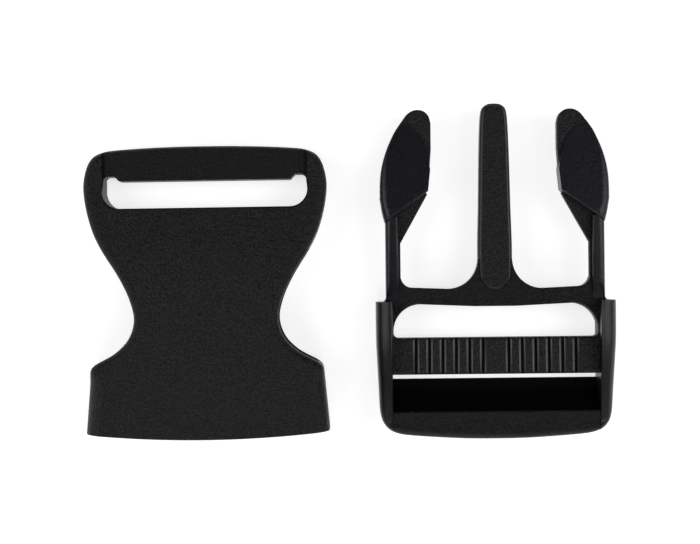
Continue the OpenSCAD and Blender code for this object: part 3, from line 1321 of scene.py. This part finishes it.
    def ribbed_bar(self) -> Piece:
        """The bar across the frame, with the grooves that hold the webbing.

        Returns:
            The ribbed bar.
        """
        (low_y, high_y), (low_z, high_z) = self.rib_bar_y, self.rib_bar_z
        half = self.slot_half + self.overlap
        piece = BENCH.block("ribbed bar", (-half, low_y, low_z), (half, high_y, high_z))
        BENCH.bevel(piece, runs_across, self.rib_bar_round, 5)
        floor, mouth = (width / 2 for width in self.groove_w)
        lip, drop = self.groove_lip
        rows = closed([
            (floor, -self.groove_depth), (mouth, -drop),
            (mouth + lip / 2, -drop * self.groove_lip_sag), (mouth + lip, self.groove_lip_rise)
        ])
        for index in range(self.groove_count):
            x = self.groove_middle / 2 + index * self.groove_pitch
            shape = [(x + a, high_z + b) for a, b in rows]
            groove = BENCH.prism("groove", Plane.END_VIEW, shape, low_y - 1, high_y + 1)
            BENCH.merge(piece, Merge.CUT, groove, BENCH.mirror_copy(groove))
        SPARK_GRAIN.dress(piece)
        WORN_EDGE.paint(
            piece, lambda face: 0.8 < face.normal.z < 0.98 and abs(face.normal.x) > 0.2
        )
        return piece

    def arm_gap(self) -> list[Row]:
        """Outline of the gap between the prong and the right arm.

        Returns:
            The outline's corners.
        """
        x, foot, wide, small = (
            self.prong_fillet_x, self.crossbar_top_y, self.prong_fillet, self.arm_fillet
        )
        rise = self.arm_fillet_rise + small
        return [
            *arc((x, foot + wide), wide, 180, 270, 12),
            *arc((self.web_x - small, foot + rise), small, 270, 360, 8),
            (self.web_x, FAR), (x - wide, FAR),
        ]

    def upper_slot(self) -> list[Row]:
        """Outline of the arched webbing slot below the crossbar.

        Returns:
            The outline's corners.
        """
        arch_y, edge_y = self.crossbar_low_y
        half, low, wide = self.slot_half - self.slot_rim, self.slot_low_round, self.slot_round
        return closed([
            (half - low, self.slot_low_y - 3),
            *arc((half - low, self.slot_low_y + low), low, -90, 0, 6),
            *arc((half - wide, edge_y - wide), wide, 0, 90, 14), (self.arch_x, arch_y),
        ])

    def crossbar(self) -> Piece:
        """The bar that carries the prong and the arms, with its filleted corners.

        Returns:
            The crossbar with its filleted corners.
        """
        half, end_x = self.crossbar_h / 2, self.strip_x[1] - self.crossbar_inset
        piece = BENCH.block(
            "crossbar", (-end_x, self.slot_low_y - self.rib_bar_round, self.mid_z - half),
            (end_x, self.crossbar_top_y + self.prong_fillet, self.mid_z + half)
        )
        edge_y = self.crossbar_low_y[1]
        slope = (0, edge_y - self.slot_round - 0.2, self.mid_z + half)
        BENCH.slice_off(piece, slope, (0, -self.crossbar_slope, 1))
        gap = BENCH.prism("arm gap", Plane.FLAT, self.arm_gap(), BELOW, FAR)
        slot = BENCH.prism("upper slot", Plane.FLAT, self.upper_slot(), BELOW, FAR)
        step = BENCH.block(
            "above the arm's root",
            (self.web_x - 0.5, self.crossbar_top_y + self.arm_fillet, BELOW), (FAR, FAR, FAR)
        )
        BENCH.merge(
            piece, Merge.CUT, BENCH.mirror_copy(gap), gap, BENCH.mirror_copy(step), step, slot
        )
        # The whole crossbar gets the darker copy of the grain as painted shade.
        PAINTED_SHADE_GRAIN.dress(piece)
        BENCH.soften(piece, self.edge_round, 3, 50)

        def on_slot_corner(face: Face) -> bool:
            """Whether a face belongs to the rounded rim at a corner of the arched slot.

            Args:
                face: The face to judge.

            Returns:
                Whether it lies on a corner of the slot.
            """
            middle = face.calc_center_median()
            facing_slot = face.normal.y < -0.1 and 0.25 < face.normal.z < 0.97
            at_corner = abs(middle.x) > self.slot_corner_x and middle.y < edge_y + 0.4
            return facing_slot and at_corner

        WORN_EDGE.paint(piece, on_slot_corner)
        return piece

    def prong(self) -> list[Piece]:
        """The centre prong: a rounded core, and a solid that gives each face a raised panel.

        Returns:
            The core and the panels' solid.
        """
        right, half = curve(self.prong_rows), self.prong_h / 2
        core = self.plate("prong", closed(right), half)
        BENCH.bevel(core, is_level, self.prong_round, 4)
        SATIN.dress(core)
        end_r, end_y = self.panel_end
        tip_x, tip_y = self.panel_tip
        rows = arc((0, end_y), end_r, -85, 0, 10) + [
            (max(x - self.panel_inset, tip_x), min(y, tip_y)) for x, y in right if y > 0
        ]
        panel = self.plate("prong panel", closed(rows), half + self.panel_rise)
        BENCH.bevel(panel, is_level, self.panel_round, 3)
        SPARK_GRAIN.dress(panel)
        WORN_EDGE.paint(panel, lambda face: 0.25 < abs(face.normal.z) < 0.97)
        return [core, panel]

    def arm_strip(self) -> Piece:
        """The springy strip of the right arm, rounded along its outer side.

        Returns:
            The strip.
        """
        inner, outer = self.strip_x
        half = self.strip_h / 2
        piece = BENCH.block(
            "arm strip", (inner, self.strip_low_y, self.mid_z - half),
            (outer, self.ridge_outer[1] + 1, self.mid_z + half)
        )

        def radius(edge: Edge) -> float:
            """A wide rounding outside and a small one inside, along the strip.

            Args:
                edge: The edge to judge.

            Returns:
                The rounding's radius, or 0 for none.
            """
            a, b = ends(edge)
            if abs(a.y - b.y) < LONG_EDGE:
                return 0.0
            return self.strip_round if a.x > (inner + outer) / 2 else self.strip_inner_round

        BENCH.weighted_bevel(piece, radius, 5)
        start, (back, up) = self.strip_low_y + self.strip_slope_start, self.strip_slope
        for side in (1, -1):
            BENCH.slice_off(piece, (0, start, self.mid_z + side * half), (0, back, side * up))
        return SATIN.dress(piece)

    def root_fillet(self) -> Piece:
        """The fillet between the outer side of the right strip and the rail's shoulder.

        Returns:
            The fillet.
        """
        x, y, radius = self.strip_x[1], self.shoulder_y, self.shoulder_fillet
        rows = [
            *arc((x + radius, y + radius), radius, 180, 270, 6), (x + radius, y - 0.4),
            (x - 0.6, y - 0.4), (x - 0.6, y + radius),
        ]
        return SATIN.dress(self.plate("root fillet", rows, self.strip_h / 2 - self.strip_round))

    def arm_web(self) -> Piece:
        """The thin web between the strip and the head.

        Returns:
            The web.
        """
        (x, y), (right, down) = self.head_inner, self.web_corner
        strip, top = self.strip_x[0] + 1, self.ridge_outer[1] + 1
        rows = [
            (self.web_x, self.web_low_y), (strip, self.web_low_y), (strip, top),
            (x + 1, y + 1.2), (x + right, y + down), (self.web_x, self.web_knee_y),
        ]
        piece = self.plate("arm web", rows, self.web_h / 2)
        SPARK_GRAIN.dress(piece)
        BENCH.soften(piece, self.edge_round, 3, 60)
        return piece

    def head_plate(self) -> Piece:
        """The thin plate that runs through the head to its rounded tip.

        Returns:
            The plate.
        """
        start = self.ridge_outer[1] + 0.9
        covered = self.head_rows[self.pad_row_count - 1][1]
        rows = [
            (x - between(self.head_inset, 0, ease((y - covered) / 2 + 1)), y)
            for x, y in curve(self.head_rows, 4) if y > start
        ]
        x, y = self.pad_edge[0]
        rows += [self.head_inner_top, (x + 0.1, y - 0.2), (x + 0.6, y - 2)]
        piece = self.plate("head plate", rows, self.plate_h / 2)
        SPARK_GRAIN.dress(piece)
        BENCH.bevel(piece, is_level, self.plate_round, 3)
        return piece

    def head_pad(self) -> Piece:
        """The thick part of the head, rounded outside and thinner towards the tip.

        Returns:
            The pad, which stands proud of the plate on both faces.
        """
        (x0, y0), (x1, y1) = self.head_inner, self.ridge_outer
        half, below = self.head_h / 2, y1 - 4
        rows = [
            (x1 - 0.9, below), *curve(self.head_rows[:self.pad_row_count]),
            *reversed(self.pad_edge), self.head_inner, (x0, below),
        ]
        piece = self.plate("head pad", rows, half)
        slope = tan(radians(self.head_slope))
        for side in (1, -1):
            middle = (0, self.head_slope_y, self.mid_z + side * half)
            BENCH.slice_off(piece, middle, (0, slope, side))
        (start, end), (least_x, most_y) = self.head_round_y, self.head_round_reach

        def radius(edge: Edge) -> float:
            """The rounding of one outer edge, which runs out towards the tip.

            Args:
                edge: The edge to judge.

            Returns:
                The rounding's radius, or 0 for none.
            """
            a, b = ends(edge)
            outside = min(a.x, b.x) >= least_x and below - 1 <= min(a.y, b.y)
            if abs(a.y - b.y) < TOUCH or max(a.y, b.y) > most_y or not outside:
                return 0.0
            share = ((a.y + b.y) / 2 - start) / (end - start)
            return between(self.head_round, self.head_round_end, ease(share))

        BENCH.weighted_bevel(piece, radius, 5)
        foot, across = Vector((x1, y1, 0)), Vector((y1 - y0, x0 - x1, 0)).normalized()
        BENCH.slice_off(piece, foot, across)

        def on_ridge(edge: Edge) -> bool:
            """Whether an edge runs along the ridge, on the upper or the lower face.

            Args:
                edge: The edge to judge.

            Returns:
                Whether it lies on the latch ridge.
            """
            a, b = ends(edge)
            near = max(abs((v - foot).dot(across)) for v in (a, b)) < TOUCH
            return near and (a.xy - b.xy).length > TOUCH and max(a.x, b.x) < x1 - 0.6

        BENCH.bevel(piece, on_ridge, self.ridge_round, 4, self.ridge_round / 2)
        SATIN.dress(piece)
        WORN_EDGE.paint(
            piece, lambda face: face.normal.dot(across) > 0.2 and abs(face.normal.z) > 0.2
        )
        return piece

    def arm(self) -> Piece:
        """The whole right arm, from its root to the tip of its head.

        Returns:
            The arm.
        """
        piece = self.head_plate()
        BENCH.merge(piece, Merge.JOIN, self.head_pad(), self.arm_strip(), self.arm_web())
        return piece

    def build(self) -> Piece:
        """Models the whole plug and returns it in metres.

        Returns:
            The finished moulding in metres.
        """
        piece = self.rails()
        parts = [self.end_bar(), self.ribbed_bar(), self.crossbar(), *self.prong()]
        for part in (self.root_fillet(), self.arm()):
            parts += [part, BENCH.mirror_copy(part)]
        BENCH.merge(piece, Merge.JOIN, *parts)
        return self.place(piece)


@dataclass(frozen=True)
class SoftBox:
    """A soft light that looks at the buckle, in metres and watts."""

    name: str
    place: tuple[float, float, float]
    size: Row
    power: float

    def hang(self) -> None:
        """Adds the light to the scene."""
        BENCH.clear()
        bpy.ops.object.light_add(type="AREA", location=self.place)
        lamp = bpy.context.object
        lamp.name = self.name
        lamp.data.shape = "RECTANGLE"
        lamp.data.size, lamp.data.size_y = self.size
        lamp.data.energy = self.power
        lamp.rotation_euler = (-Vector(self.place)).to_track_quat("-Z", "Y").to_euler()


SOFT_BOXES = (
    SoftBox("left soft box", (-0.5, 0.0, 0.42), (0.35, 0.6), 2.3),
    SoftBox("right soft box", (0.5, 0.0, 0.42), (0.35, 0.6), 2.3),
    SoftBox("high right soft box", (0.33, 0.0, 0.75), (0.3, 0.5), 0.45),
    SoftBox("low front soft box", (0.0, -0.6, 0.18), (0.6, 0.25), 1.75),
    SoftBox("front soft box", (0.0, -0.5, 0.45), (0.6, 0.35), 0.8),
    SoftBox("overhead soft box", (0.0, 0.02, 1.1), (0.5, 0.5), 0.3),
)


@dataclass
class Studio:
    """The pale floor, the soft lights and the camera above the buckle, in metres."""

    camera_height: float = 0.370
    view_width: float = 0.1377
    sensor: float = 36.0
    turn: float = -0.6
    centre: Row = (0.00005, 0.00015)
    clip_start: float = 0.01
    floor_size: float = 3.0
    floor_grey: float = 0.55
    floor_roughness: float = 0.9
    floor_glow: float = 0.7
    air: tuple[float, float, float] = (0.08, 0.08, 0.082)

    def floor(self) -> None:
        """Lays the floor and gives it its pale material."""
        BENCH.clear()
        bpy.ops.mesh.primitive_plane_add(size=self.floor_size, location=(0, 0, 0))
        floor = bpy.context.object
        floor.name = "floor"
        material = bpy.data.materials.new("pale_floor")
        material.use_nodes = True
        inputs = material.node_tree.nodes["Principled BSDF"].inputs
        inputs["Base Color"].default_value = (*[self.floor_grey] * 3, 1)
        inputs["Roughness"].default_value = self.floor_roughness
        inputs["Emission Color"].default_value = (1, 1, 1, 1)
        inputs["Emission Strength"].default_value = self.floor_glow
        floor.data.materials.append(material)

    def camera(self) -> None:
        """Sets the camera straight above, turned as the photograph is."""
        BENCH.clear()
        place = (*self.centre, self.camera_height)
        bpy.ops.object.camera_add(location=place, rotation=(0, 0, radians(self.turn)))
        camera = bpy.context.object
        camera.data.sensor_width = self.sensor
        camera.data.lens = self.sensor * self.camera_height / self.view_width
        camera.data.clip_start = self.clip_start
        camera.data.dof.use_dof = False
        bpy.context.scene.camera = camera

    def build(self) -> None:
        """Sets up the whole studio."""
        self.floor()
        for box in SOFT_BOXES:
            box.hang()
        world = bpy.data.worlds.new("studio")
        world.use_nodes = True
        world.node_tree.nodes["Background"].inputs["Color"].default_value = (*self.air, 1)
        bpy.context.scene.world = world
        bpy.context.scene.view_settings.view_transform = "Standard"
        self.camera()


def main() -> None:
    """Builds the studio and the two halves."""
    logging.basicConfig(level=logging.INFO, format="%(name)s: %(message)s")
    Studio().build()
    for half, node in ((Socket(), "socket"), (Plug(), "plug")):
        piece = half.build()
        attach(piece, "root")
        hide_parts(node)
        log.info("%s: %d faces", piece.name, len(piece.data.polygons))


if __name__ == "__main__":
    main()
